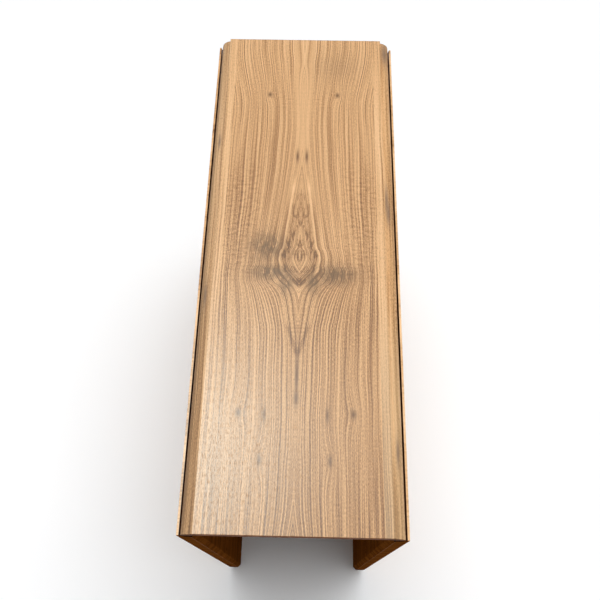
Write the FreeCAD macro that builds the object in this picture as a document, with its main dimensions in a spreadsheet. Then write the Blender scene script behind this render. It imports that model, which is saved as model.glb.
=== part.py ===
import FreeCAD, Part
import os
import re
import Sketcher

# Drop-leaf console table: a narrow top on a small four-leg base, with two deep leaves
# that hang to just above the floor on rule joints. Millimetres, +Z up, the origin on the
# floor under the middle of the top, the length along Y and the leaves on -X and +X.
# Every piece is drawn once, on the +X and +Y side, and mirrored where it repeats.

doc = FreeCAD.newDocument("DropLeafConsole")
sheet = doc.addObject("Spreadsheet::Sheet", "Sizes")

sizes = [
    ("table_height", 740, "floor to the top face"),
    ("top_length", 790, "length of the top and the leaves"),
    ("pin_spread", 250, "between the two hinge lines"),
    ("board_thick", 23, "top and leaf boards"),
    ("pin_depth", 20, "hinge line below the top face"),
    ("ovolo_radius", 14.5, "round of the rule joint on the top"),
    ("joint_gap", 2.5, "ovolo to cove"),
    ("lip_gap", 0.6, "end of the cove lip below the hinge line"),
    ("top_lipping_flat", 13, "flat of the top's lipping beside the ovolo"),
    ("tongue_thick", 6, "tongues that join lippings to panels"),
    ("tongue_length", 6, "depth of those tongues"),
    ("end_bevel", 6, "bevel under the ends of the top and the leaves"),
    ("leaf_floor_gap", 12, "floor to the hanging leaf"),
    ("leaf_stile_width", 75, "hinge line to the leaf panel"),
    ("leaf_edge_width", 20, "free-edge lipping of the leaf"),
    ("edge_round", 7, "rounded outer arris of that lipping"),
    ("hinge_place", 200, "outer hinges from the middle"),
    ("hinge_width", 38, "hinge plates along the joint"),
    ("hinge_plate_thick", 2.5, "hinge plates"),
    ("hinge_short_reach", 38, "hinge line to the end of the top plate"),
    ("hinge_long_reach", 66, "hinge line to the end of the leaf plate"),
    ("centre_knuckle", 16, "knuckle on the leaf plate"),
    ("knuckle_gap", 0.5, "running room round the knuckles"),
    ("hinge_pin_radius", 1.5, "hinge pins"),
    ("hinge_pin_clear", 0.05, "pin in its bore, on the radius"),
    ("leg_width", 34, "square legs"),
    ("leg_spread_x", 170, "between leg centres across the table"),
    ("leg_spread_y", 570, "between leg centres along the table"),
    ("foot_width", 22, "end of the tapered foot"),
    ("foot_taper", 116, "height of the taper"),
    ("glide_height", 4, "glide under the foot"),
    ("glide_radius", 9, "glide under the foot"),
    ("rail_height", 60, "rails under the top"),
    ("rail_thick", 18, "rails and stretchers"),
    ("stretcher_height", 30, "lower stretchers"),
    ("stretcher_level", 140, "floor to the stretchers"),
    ("tenon_thick", 8, "tenons"),
    ("tenon_length", 12, "tenons"),
    ("tenon_shoulder", 8, "shoulder above and below a tenon"),
    ("clip_place", 120, "top clips from the middle"),
    ("clip_width", 30, "top clips"),
    ("clip_leg", 24, "top clips"),
    ("clip_thick", 2.5, "top clips"),
    ("arm_width", 20, "support arm bar"),
    ("arm_thick", 5, "support arm bar"),
    ("arm_start", 80, "hinge line to the near end of the bar"),
    ("arm_reach", 330, "hinge line to the far end of the bar"),
    ("flange_thick", 4, "arm flange and bracket plates"),
    ("jaw_drop", 60, "hinge line to the jaw floor on the leaf"),
    ("jaw_floor", 50, "hinge line to the jaw floor at the stop"),
    ("flange_tail", 130, "hinge line to the end of the flange"),
    ("flange_reach", 50, "hinge line to the rim of the flange"),
    ("flange_shoulder", 62, "hinge line to the foot of the rim"),
    ("flange_gap", 1, "running room beside the flange"),
    ("hook_start", 25, "hinge line to the stop edge"),
    ("slot_clear", 1.5, "room round the flange in the top"),
    ("bracket_reach", 60, "hinge line to the back of the bracket"),
    ("bracket_gap", 3, "leg to the bracket"),
    ("bracket_width", 27, "bracket plate along the joint"),
    ("bracket_depth", 46, "hinge line to the foot of the bracket web"),
    ("barrel_radius", 7, "bolt barrel"),
    ("barrel_gap", 1.3, "bolt barrel to the hanging leaf"),
    ("barrel_length", 20, "bolt barrel with the web"),
    ("bolt_radius", 4, "slide bolt"),
    ("bolt_drop", 38, "hinge line down to the bolt"),
    ("bolt_travel", 10, "slide bolt stroke"),
    ("bolt_clear", 0.08, "bolt in its barrel, on the radius"),
    ("bolt_rest_gap", 0.3, "bolt short of the flange, and behind the stop edge"),
    ("knob_radius", 6.5, "bolt knob"),
    ("knob_length", 8, "bolt knob"),
    ("bumper_width", 14, "square leaf bumpers"),
    ("bumper_level", 190, "floor to the bumpers"),
    ("bumper_gap", 0.3, "bumper to the hanging leaf"),
]

aliases = set()
for row, (alias, value, note) in enumerate(sizes, 1):
    sheet.set(f"A{row}", note)
    sheet.set(f"B{row}", str(value))
    sheet.setAlias(f"B{row}", alias)
    aliases.add(alias)
doc.recompute()

# Sizes that follow from the sheet.
derived = {
    "pin_x": "pin_spread / 2",
    "pin_z": "table_height - pin_depth",
    "pin_rise": "board_thick - pin_depth",
    "under_z": "table_height - board_thick",
    "board_mid": "pin_depth - board_thick / 2",
    "cove_radius": "ovolo_radius + joint_gap",
    "panel_x": "pin_x - top_lipping_flat",
    "leaf_inner_x": "pin_x - pin_rise",
    "leaf_edge_drop": "pin_z - leaf_floor_gap",
    "leaf_panel_drop": "leaf_edge_drop - leaf_edge_width",
    "knuckle_room": "pin_rise + knuckle_gap",
    "outer_knuckle": "(hinge_width - centre_knuckle) / 2 - knuckle_gap",
    "leg_x": "leg_spread_x / 2",
    "leg_y": "leg_spread_y / 2",
    "rail_z": "under_z - rail_height",
    "bolt_in": "pin_rise + barrel_gap + barrel_radius",
    "hook_rise": "bolt_in - bolt_radius - bolt_rest_gap",
    "web_far": "leg_y + leg_width / 2 + bracket_gap + bracket_width",
    "arm_place": "web_far + flange_gap + flange_thick / 2",
    "barrel_near": "web_far - barrel_length",
    "knob_near": "barrel_near - bolt_travel - bolt_rest_gap",
}


def formula(text):
    """Expand derived names and point every size at its cell."""
    def swap(match):
        word = match.group(0)
        if word in derived:
            return "(" + formula(derived[word]) + ")"
        if word in aliases:
            return "Sizes." + word
        return word
    return re.sub(r"[a-z_]+", swap, str(text))


def measure(text):
    """The number that a formula gives with the present sizes."""
    return float(sheet.evalExpression(formula(text)))


def bind(obj, path, text):
    obj.setExpression(path, formula(text))


def place(obj, corner):
    for axis, text in zip("xyz", corner):
        bind(obj, f"Placement.Base.{axis}", text)


def block(name, corner, extent):
    """A rectangular block from its lowest corner."""
    obj = doc.addObject("Part::Box", name)
    for prop, text in zip(("Length", "Width", "Height"), extent):
        bind(obj, prop, text)
    place(obj, corner)
    return obj


turns = {
    "y": FreeCAD.Rotation(FreeCAD.Vector(1, 0, 0), -90),
    "z": FreeCAD.Rotation(),
}


def rod(name, start, axis, radius, length):
    """A round rod that runs from start along +axis."""
    obj = doc.addObject("Part::Cylinder", name)
    bind(obj, "Radius", radius)
    bind(obj, "Height", length)
    obj.Placement = FreeCAD.Placement(FreeCAD.Vector(), turns[axis])
    place(obj, start)
    return obj


def fuse(name, pieces):
    obj = doc.addObject("Part::MultiFuse", name)
    obj.Shapes = pieces
    return obj


def cut(name, base, tools):
    obj = doc.addObject("Part::Cut", name)
    obj.Base = base
    obj.Tool = tools[0] if len(tools) == 1 else fuse(name + "_tools", tools)
    return obj


def group(name, pieces):
    obj = doc.addObject("Part::Compound", name)
    obj.Links = pieces
    return obj


def mirror(name, source, normal):
    """The same piece on the other side of a middle plane of the table."""
    obj = doc.addObject("Part::Mirroring", name)
    obj.Source = source
    obj.Normal = FreeCAD.Vector(*normal)
    return obj


across = (1, 0, 0)
along = (0, 1, 0)


def plane(body, role):
    return next(item for item in body.Origin.OriginFeatures if item.Role == role)


def fix_point(sketch, edge, end, x, y):
    """Pin one end of an edge to its formulas; None leaves that direction free."""
    for kind, axis, text in (("DistanceX", -2, x), ("DistanceY", -1, y)):
        if text is None:
            continue
        if text == "0":
            sketch.addConstraint(Sketcher.Constraint("PointOnObject", edge, end, axis))
            continue
        index = sketch.addConstraint(Sketcher.Constraint(kind, edge, end, measure(text)))
        sketch.setExpression(f"Constraints[{index}]", formula(text))


def outline(sketch, corners):
    """A closed outline. A corner is (x, y), with an optional arc to the next corner given
    as (centre x, centre y, radius, counter-clockwise). A corner that ends an arc leaves one
    direction free, and its rough place follows as a guess."""
    count = len(corners)
    spots = []
    for corner in corners:
        x, y = corner["at"]
        rough_x, rough_y = corner.get("rough", (x, y))
        spots.append(FreeCAD.Vector(measure(rough_x), measure(rough_y), 0))
    starts = []
    for index, corner in enumerate(corners):
        here = spots[index]
        there = spots[(index + 1) % count]
        if "arc" not in corner:
            edge = sketch.addGeometry(Part.LineSegment(here, there), False)
            starts.append((edge, 1, 2))
            continue
        centre_x, centre_y, radius, forward = corner["arc"]
        centre = FreeCAD.Vector(measure(centre_x), measure(centre_y), 0)
        first, last = (here, there) if forward else (there, here)
        angles = [FreeCAD.Vector(1, 0, 0).getAngle(spot - centre) for spot in (first, last)]
        signed = [turn if spot.y >= centre.y else -turn for turn, spot in zip(angles, (first, last))]
        circle = Part.Circle(centre, FreeCAD.Vector(0, 0, 1), measure(radius))
        edge = sketch.addGeometry(Part.ArcOfCircle(circle, signed[0], signed[1]), False)
        starts.append((edge, 1, 2) if forward else (edge, 2, 1))
        if centre_x == "0" and centre_y == "0":
            sketch.addConstraint(Sketcher.Constraint("Coincident", edge, 3, -1, 1))
        else:
            fix_point(sketch, edge, 3, centre_x, centre_y)
        size = sketch.addConstraint(Sketcher.Constraint("Radius", edge, measure(radius)))
        sketch.setExpression(f"Constraints[{size}]", formula(radius))
    for index in range(count):
        edge, _, tail = starts[index]
        follower, head, _ = starts[(index + 1) % count]
        sketch.addConstraint(Sketcher.Constraint("Coincident", edge, tail, follower, head))
    for (edge, head, _), corner in zip(starts, corners):
        fix_point(sketch, edge, head, *corner["at"])


def profile_bar(name, origin, corners, length):
    """A body whose XZ outline runs evenly to both sides of its origin along Y."""
    body = doc.addObject("PartDesign::Body", name)
    sketch = body.newObject("Sketcher::SketchObject", name + "_outline")
    sketch.AttachmentSupport = (plane(body, "XZ_Plane"), [""])
    sketch.MapMode = "FlatFace"
    outline(sketch, corners)
    pad = body.newObject("PartDesign::Pad", name + "_pad")
    pad.Profile = sketch
    pad.Midplane = True
    bind(pad, "Length", length)
    place(body, origin)
    return body


def at(x, y, **extra):
    return {"at": (x, y), **extra}


nodes = []


def keep(obj, label):
    """Name a finished sub-part."""
    obj.Label = label
    nodes.append(obj)
    return obj


def keep_pair(obj, stem, first, second, normal):
    """Keep a piece and its mirror image."""
    keep(obj, f"{stem}_{first}")
    keep(mirror(f"{stem}_{second}_mirror", obj, normal), f"{stem}_{second}")


hinge_line = ("pin_x", "0", "pin_z")
hinge_places = ("-hinge_place", "0", "hinge_place")


# The bevel under both ends of a board, as the corner that a plane takes off.
def end_bevels(name, corner, extent, axis, angle):
    """A block turned so that one face lies in the bevel, and its copy at the other end."""
    back = block(name + "_back", corner, extent)
    back.Placement.Rotation = FreeCAD.Rotation(FreeCAD.Vector(*axis), angle)
    return [back, mirror(name + "_front", back, along)]


def top_bevels(name):
    return end_bevels(
        name, ("-pin_spread", "top_length / 2 + end_bevel", "under_z + 2 * end_bevel"),
        ("2 * pin_spread", "5 * end_bevel", "2 * end_bevel"), (1, 0, 0), -135)


def leaf_bevels(name):
    return end_bevels(
        name, ("leaf_inner_x - end_bevel", "top_length / 2 - 2 * end_bevel", "0"),
        ("5 * end_bevel", "2 * end_bevel", "table_height"), (0, 0, 1), 45)


# Top: a panel with a tongue on each long edge, in lippings that carry the ovolo.
def hinge_seats(stem):
    """What the three hinges of one side take out of the top: the plates' recesses, the
    knuckles' groove, and the way of the leaf plates under the ovolo."""
    seats = []
    for index, middle in enumerate(hinge_places):
        name = f"{stem}_{index}"
        seats.append(block(
            name + "_plate",
            ("pin_x - hinge_short_reach", f"{middle} - hinge_width / 2", "under_z"),
            ("hinge_short_reach", "hinge_width", "hinge_plate_thick")))
        seats.append(rod(
            name + "_knuckles",
            ("pin_x", f"{middle} - hinge_width / 2 - knuckle_gap", "pin_z"),
            "y", "knuckle_room", "hinge_width + 2 * knuckle_gap"))
        seats.append(block(
            name + "_way",
            ("leaf_inner_x - knuckle_gap", f"{middle} - hinge_width / 2 - knuckle_gap", "under_z"),
            ("ovolo_radius + 2 * knuckle_room", "hinge_width + 2 * knuckle_gap", "pin_rise + knuckle_gap")))
    return seats


def make_top():
    panel = block(
        "panel_core",
        ("-panel_x", "-top_length / 2", "under_z"),
        ("2 * panel_x", "top_length", "board_thick"))
    tongue = block(
        "panel_tongue",
        ("-panel_x - tongue_length", "-top_length / 2", "pin_z + board_mid - tongue_thick / 2"),
        ("2 * panel_x + 2 * tongue_length", "top_length", "tongue_thick"))
    slot = block(
        "flange_slot",
        ("pin_x - flange_reach - slot_clear", "arm_place - flange_thick / 2 - flange_gap", "under_z"),
        ("flange_reach - hook_start + 2 * slot_clear", "flange_thick + 2 * flange_gap",
         "pin_rise + hook_rise + slot_clear"))
    slot_front = mirror("flange_slot_front", slot, along)
    right_tools = fuse("panel_right_tools", [slot, slot_front] + hinge_seats("panel_seat"))
    left_tools = mirror("panel_left_tools", right_tools, across)
    tools = [right_tools, left_tools] + top_bevels("panel_bevel")
    keep(cut("panel", fuse("panel_blank", [panel, tongue]), tools), "top_panel")

    lipping = profile_bar("lipping_bar", hinge_line, [
        at("-top_lipping_flat", "pin_depth"),
        at("-top_lipping_flat", "board_mid + tongue_thick / 2"),
        at("tongue_length - top_lipping_flat", "board_mid + tongue_thick / 2"),
        at("tongue_length - top_lipping_flat", "board_mid - tongue_thick / 2"),
        at("-top_lipping_flat", "board_mid - tongue_thick / 2"),
        at("-top_lipping_flat", "-pin_rise"),
        at("ovolo_radius", "-pin_rise"),
        at(None, "0", rough=("ovolo_radius", "0"), arc=("0", "0", "ovolo_radius", True)),
        at("0", None, rough=("0", "ovolo_radius")),
        at("0", "pin_depth"),
    ], "top_length")
    lipping = cut("lipping", lipping, hinge_seats("lipping_seat") + top_bevels("lipping_bevel"))
    keep_pair(lipping, "top_lipping", "right", "left", across)


# Leaves, hanging: a stile with the cove, a panel, and a lipping on the free edge.
def make_leaf():
    stile = profile_bar("stile_bar", hinge_line, [
        at("pin_depth", "-lip_gap"),
        at(None, "-lip_gap", rough=("cove_radius", "-lip_gap"), arc=("0", "0", "cove_radius", False)),
        at("-pin_rise", None, rough=("-pin_rise", "-cove_radius")),
        at("-pin_rise", "-leaf_stile_width"),
        at("board_mid - tongue_thick / 2", "-leaf_stile_width"),
        at("board_mid - tongue_thick / 2", "tongue_length - leaf_stile_width"),
        at("board_mid + tongue_thick / 2", "tongue_length - leaf_stile_width"),
        at("board_mid + tongue_thick / 2", "-leaf_stile_width"),
        at("pin_depth", "-leaf_stile_width"),
    ], "top_length")
    recesses = []
    for index, middle in enumerate(hinge_places):
        recesses.append(block(
            f"stile_recess_{index}",
            ("leaf_inner_x", f"{middle} - hinge_width / 2", "pin_z - hinge_long_reach"),
            ("hinge_plate_thick", "hinge_width", "hinge_long_reach")))
    stile = cut("stile", stile, recesses + leaf_bevels("stile_bevel"))
    keep_pair(stile, "leaf_stile", "right", "left", across)

    panel = block(
        "leaf_core",
        ("leaf_inner_x", "-top_length / 2", "pin_z - leaf_panel_drop"),
        ("board_thick", "top_length", "leaf_panel_drop - leaf_stile_width"))
    tongue = block(
        "leaf_tongue",
        ("pin_x + board_mid - tongue_thick / 2", "-top_length / 2",
         "pin_z - leaf_panel_drop - tongue_length"),
        ("tongue_thick", "top_length", "leaf_panel_drop - leaf_stile_width + 2 * tongue_length"))
    board = cut("leaf_board", fuse("leaf_blank", [panel, tongue]), leaf_bevels("board_bevel"))
    keep_pair(board, "leaf_panel", "right", "left", across)

    edge = profile_bar("leaf_edge", hinge_line, [
        at("-pin_rise", "-leaf_panel_drop"),
        at("-pin_rise", "-leaf_edge_drop"),
        at("pin_depth - edge_round", None, rough=("pin_depth - edge_round", "-leaf_edge_drop"),
           arc=("pin_depth - edge_round", "edge_round - leaf_edge_drop", "edge_round", True)),
        at(None, "edge_round - leaf_edge_drop", rough=("pin_depth", "edge_round - leaf_edge_drop")),
        at("pin_depth", "-leaf_panel_drop"),
        at("board_mid + tongue_thick / 2", "-leaf_panel_drop"),
        at("board_mid + tongue_thick / 2", "-leaf_panel_drop - tongue_length"),
        at("board_mid - tongue_thick / 2", "-leaf_panel_drop - tongue_length"),
        at("board_mid - tongue_thick / 2", "-leaf_panel_drop"),
    ], "top_length")
    edge = cut("leaf_edge_cut", edge, leaf_bevels("edge_bevel"))
    keep_pair(edge, "leaf_edge_lipping", "right", "left", across)


# Drop-leaf hinges: a short plate under the top, a long one on the leaf, a pin between.
def make_hinges():
    top_plates = []
    leaf_plates = []
    pins = []
    for index, middle in enumerate(hinge_places):
        low = f"{middle} - hinge_width / 2"
        bore = rod(
            f"hinge_bore_{index}", ("pin_x", low, "pin_z"), "y",
            "hinge_pin_radius + hinge_pin_clear", "hinge_width")
        top_pieces = [block(
            f"top_leafplate_{index}",
            ("pin_x - hinge_short_reach", low, "under_z"),
            ("hinge_short_reach - knuckle_room", "hinge_width", "hinge_plate_thick"))]
        for end, start in (("a", low), ("b", f"{middle} + hinge_width / 2 - outer_knuckle")):
            top_pieces.append(rod(
                f"outer_knuckle_{index}{end}", ("pin_x", start, "pin_z"), "y",
                "pin_rise", "outer_knuckle"))
            top_pieces.append(block(
                f"outer_neck_{index}{end}",
                ("pin_x - knuckle_room", start, "under_z"),
                ("knuckle_room", "outer_knuckle", "hinge_plate_thick")))
        top_blank = fuse(f"hinge_top_blank_{index}", top_pieces)
        top_plates.append(cut(f"hinge_top_{index}", top_blank, [bore]))

        centre = f"{middle} - centre_knuckle / 2"
        leaf_pieces = [
            block(
                f"long_plate_{index}",
                ("leaf_inner_x", low, "pin_z - hinge_long_reach"),
                ("hinge_plate_thick", "hinge_width", "hinge_long_reach - knuckle_room")),
            block(
                f"centre_neck_{index}",
                ("leaf_inner_x", centre, "pin_z - knuckle_room"),
                ("hinge_plate_thick", "centre_knuckle", "knuckle_room")),
            rod(
                f"centre_knuckle_{index}", ("pin_x", centre, "pin_z"), "y",
                "pin_rise", "centre_knuckle"),
        ]
        leaf_blank = fuse(f"hinge_leaf_blank_{index}", leaf_pieces)
        leaf_plates.append(cut(f"hinge_leaf_{index}", leaf_blank, [bore]))
        pins.append(rod(
            f"hinge_pin_{index}", ("pin_x", low, "pin_z"), "y", "hinge_pin_radius", "hinge_width"))
    keep_pair(group("top_plates", top_plates), "hinge_top_plates", "right", "left", across)
    keep_pair(group("leaf_plates", leaf_plates), "hinge_leaf_plates", "right", "left", across)
    keep_pair(group("pins", pins), "hinge_pins", "right", "left", across)


# Base: four legs with tapered feet, rails under the top and an H of stretchers.
def make_tenoned(name, low, high, middle, axis, bottom, height, shoulder):
    """A rail along one axis between two faces, with a centred tenon at each end."""
    body = ["0", "0", bottom]
    tenon = ["0", "0", f"{bottom} + {shoulder}"]
    extent = [None, None, height]
    tenon_extent = [None, None, f"{height} - 2 * {shoulder}"]
    run = 0 if axis == "x" else 1
    side = 1 - run
    body[run] = low
    extent[run] = f"{high} - ({low})"
    body[side] = f"{middle} - rail_thick / 2"
    extent[side] = "rail_thick"
    tenon[run] = f"{low} - tenon_length"
    tenon_extent[run] = f"{high} - ({low}) + 2 * tenon_length"
    tenon[side] = f"{middle} - tenon_thick / 2"
    tenon_extent[side] = "tenon_thick"
    return fuse(name, [block(name + "_bar", body, extent), block(name + "_tenon", tenon, tenon_extent)])


def make_base():
    inner_x = "leg_x - leg_width / 2"
    inner_y = "leg_y - leg_width / 2"
    side_rail = make_tenoned(
        "side_rail", f"-({inner_y})", inner_y, "leg_x", "y", "rail_z", "rail_height", "tenon_shoulder")
    end_rail = make_tenoned(
        "end_rail", f"-({inner_x})", inner_x, "leg_y", "x", "rail_z", "rail_height", "tenon_shoulder")
    end_stretcher = make_tenoned(
        "end_stretcher", f"-({inner_x})", inner_x, "leg_y", "x",
        "stretcher_level", "stretcher_height", "tenon_shoulder")
    stretcher_face = "leg_y - rail_thick / 2"
    long_stretcher = make_tenoned(
        "long_stretcher", f"-({stretcher_face})", stretcher_face, "0", "y",
        "stretcher_level", "stretcher_height", "tenon_shoulder")

    shank = block(
        "leg_shank",
        ("leg_x - leg_width / 2", "leg_y - leg_width / 2", "glide_height + foot_taper"),
        ("leg_width", "leg_width", "under_z - glide_height - foot_taper"))
    foot = doc.addObject("Part::Wedge", "leg_foot")
    for side in ("X", "Z"):
        bind(foot, side + "min", "-foot_width / 2")
        bind(foot, side + "max", "foot_width / 2")
        bind(foot, side + "2min", "-leg_width / 2")
        bind(foot, side + "2max", "leg_width / 2")
    bind(foot, "Ymin", "0")
    bind(foot, "Ymax", "foot_taper")
    foot.Placement = FreeCAD.Placement(FreeCAD.Vector(), FreeCAD.Rotation(FreeCAD.Vector(1, 0, 0), 90))
    place(foot, ("leg_x", "leg_y", "glide_height"))
    leg = cut("leg", fuse("leg_blank", [shank, foot]), [side_rail, end_rail, end_stretcher])
    keep(leg, "leg_back_right")
    leg_left = keep(mirror("leg_back_left_mirror", leg, across), "leg_back_left")
    keep(mirror("leg_front_right_mirror", leg, along), "leg_front_right")
    keep(mirror("leg_front_left_mirror", leg_left, along), "leg_front_left")

    keep_pair(side_rail, "side_rail", "right", "left", across)
    keep_pair(end_rail, "end_rail", "back", "front", along)
    end_stretcher = cut("end_stretcher_cut", end_stretcher, [long_stretcher])
    keep_pair(end_stretcher, "end_stretcher", "back", "front", along)
    keep(long_stretcher, "long_stretcher")

    glide = rod("glide", ("leg_x", "leg_y", "0"), "z", "glide_radius", "glide_height")
    bumper = block(
        "bumper",
        ("leg_x + leg_width / 2", "leg_y - bumper_width / 2", "bumper_level - bumper_width / 2"),
        ("leaf_inner_x - leg_x - leg_width / 2 - bumper_gap", "bumper_width", "bumper_width"))
    clip = fuse("clip", [
        block(
            "clip_upright",
            ("leg_x - rail_thick / 2 - clip_thick", "clip_place - clip_width / 2", "under_z - clip_leg"),
            ("clip_thick", "clip_width", "clip_leg")),
        block(
            "clip_flat",
            ("leg_x - rail_thick / 2 - clip_leg", "clip_place - clip_width / 2", "under_z - clip_thick"),
            ("clip_leg", "clip_width", "clip_thick")),
    ])
    for piece, label in ((glide, "foot_glides"), (bumper, "leaf_bumpers"), (clip, "top_clips")):
        back = [piece, mirror(label + "_left", piece, across)]
        front = [mirror(f"{label}_front_{index}", source, along) for index, source in enumerate(back)]
        keep(group(label + "_group", back + front), label)


# Leaf supports: an arm on the leaf whose hooked flange turns about the hinge line, and a
# bracket under the top with a slide bolt. With the leaf up the bolt stands behind the stop
# edge of the hook; with the leaf down it goes into the hook's open jaw.
def make_supports():
    flange_line = ("pin_x", "arm_place", "pin_z")
    flange = profile_bar("flange", flange_line, [
        at("-pin_rise", "-jaw_drop"),
        at("-hook_start", "-jaw_floor"),
        at("-hook_start", "hook_rise"),
        at("-flange_reach", "hook_rise"),
        at("-flange_reach", "-flange_shoulder"),
        at("-pin_rise - arm_thick", "-flange_tail"),
        at("-pin_rise", "-flange_tail"),
    ], "flange_thick")
    bar = block(
        "arm_bar",
        ("leaf_inner_x - arm_thick", "arm_place - arm_width / 2", "pin_z - arm_reach"),
        ("arm_thick", "arm_width", "arm_reach - arm_start"))
    arm = fuse("arm", [flange, bar])

    web_line = ("pin_x", "web_far - flange_thick / 2", "pin_z")
    web = profile_bar("web", web_line, [
        at("barrel_radius - bolt_in", "-pin_rise"),
        at("-bracket_reach", "-pin_rise"),
        at("-bracket_reach", "-pin_rise - 2 * flange_thick"),
        at("-bolt_in - barrel_radius", "-bracket_depth"),
        at("barrel_radius - bolt_in", "-bracket_depth"),
    ], "flange_thick")
    plate = block(
        "bracket_plate",
        ("pin_x - bracket_reach", "web_far - bracket_width", "under_z - flange_thick"),
        ("bracket_reach - bolt_in + barrel_radius", "bracket_width", "flange_thick"))
    barrel = rod(
        "barrel", ("pin_x - bolt_in", "barrel_near", "pin_z - bolt_drop"), "y",
        "barrel_radius", "barrel_length")
    barrel_bore = rod(
        "barrel_bore", ("pin_x - bolt_in", "barrel_near", "pin_z - bolt_drop"), "y",
        "bolt_radius + bolt_clear", "barrel_length")
    bracket = cut("bracket", fuse("bracket_blank", [web, plate, barrel]), [barrel_bore])

    bolt = fuse("bolt", [
        rod("bolt_rod", ("pin_x - bolt_in", "knob_near", "pin_z - bolt_drop"), "y", "bolt_radius",
            "web_far + flange_gap - bolt_rest_gap - (knob_near)"),
        rod("bolt_knob", ("pin_x - bolt_in", "knob_near - knob_length", "pin_z - bolt_drop"), "y",
            "knob_radius", "knob_length"),
    ])
    for piece, stem in ((arm, "support_arm"), (bracket, "support_bracket"), (bolt, "slide_bolt")):
        keep(piece, stem + "_back_right")
        left = keep(mirror(stem + "_back_left_mirror", piece, across), stem + "_back_left")
        keep(mirror(stem + "_front_right_mirror", piece, along), stem + "_front_right")
        keep(mirror(stem + "_front_left_mirror", left, along), stem + "_front_left")


make_top()
make_leaf()
make_hinges()
make_base()
make_supports()
doc.recompute()

for obj in doc.Objects:
    if "Invalid" in obj.State or "Error" in obj.State:
        raise RuntimeError(f"{obj.Name} failed: {obj.State}")
for node in nodes:
    if node.Shape.isNull() or not node.Shape.isValid() or not node.Shape.Solids:
        raise RuntimeError(f"{node.Label} has no valid solid")

os.makedirs("parts", exist_ok=True)
for node in nodes:
    node.Shape.exportStep(f"parts/{node.Label}.step")
    box = node.Shape.BoundBox
    print(
        f"{node.Label}: {len(node.Shape.Solids)} solid(s), {node.Shape.Volume:.0f} mm3, "
        f"x {box.XMin:.1f}..{box.XMax:.1f} y {box.YMin:.1f}..{box.YMax:.1f} "
        f"z {box.ZMin:.1f}..{box.ZMax:.1f}")
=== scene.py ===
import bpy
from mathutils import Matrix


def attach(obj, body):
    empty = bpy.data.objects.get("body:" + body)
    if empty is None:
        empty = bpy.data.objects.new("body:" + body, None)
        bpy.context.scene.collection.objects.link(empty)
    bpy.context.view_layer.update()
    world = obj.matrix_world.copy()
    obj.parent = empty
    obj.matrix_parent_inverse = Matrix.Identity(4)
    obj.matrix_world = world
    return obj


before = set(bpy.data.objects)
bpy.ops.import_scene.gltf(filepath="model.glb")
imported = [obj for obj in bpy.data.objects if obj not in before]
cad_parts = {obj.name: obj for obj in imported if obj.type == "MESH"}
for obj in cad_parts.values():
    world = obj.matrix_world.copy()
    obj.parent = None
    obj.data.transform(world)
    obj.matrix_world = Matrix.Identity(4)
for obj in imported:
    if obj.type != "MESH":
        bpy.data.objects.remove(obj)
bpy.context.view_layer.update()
import math
import bmesh
import bpy
import numpy as np
from mathutils import Matrix, Vector

print("frame loaded:", len(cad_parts), "nodes")


# Shader maths: a Field is one value socket, and arithmetic on it adds Math nodes.
class Field:
    def __init__(self, graph, socket):
        self.graph = graph
        self.socket = socket

    def __add__(self, other):
        return self.graph.math("ADD", self, other)

    def __radd__(self, other):
        return self.graph.math("ADD", other, self)

    def __sub__(self, other):
        return self.graph.math("SUBTRACT", self, other)

    def __rsub__(self, other):
        return self.graph.math("SUBTRACT", other, self)

    def __mul__(self, other):
        return self.graph.math("MULTIPLY", self, other)

    def __rmul__(self, other):
        return self.graph.math("MULTIPLY", other, self)

    def __truediv__(self, other):
        return self.graph.math("DIVIDE", self, other)

    def __rtruediv__(self, other):
        return self.graph.math("DIVIDE", other, self)

    def __pow__(self, other):
        return self.graph.math("POWER", self, other)

    def __neg__(self):
        return self.graph.math("MULTIPLY", self, -1.0)

    def __abs__(self):
        return self.graph.math("ABSOLUTE", self)


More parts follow.
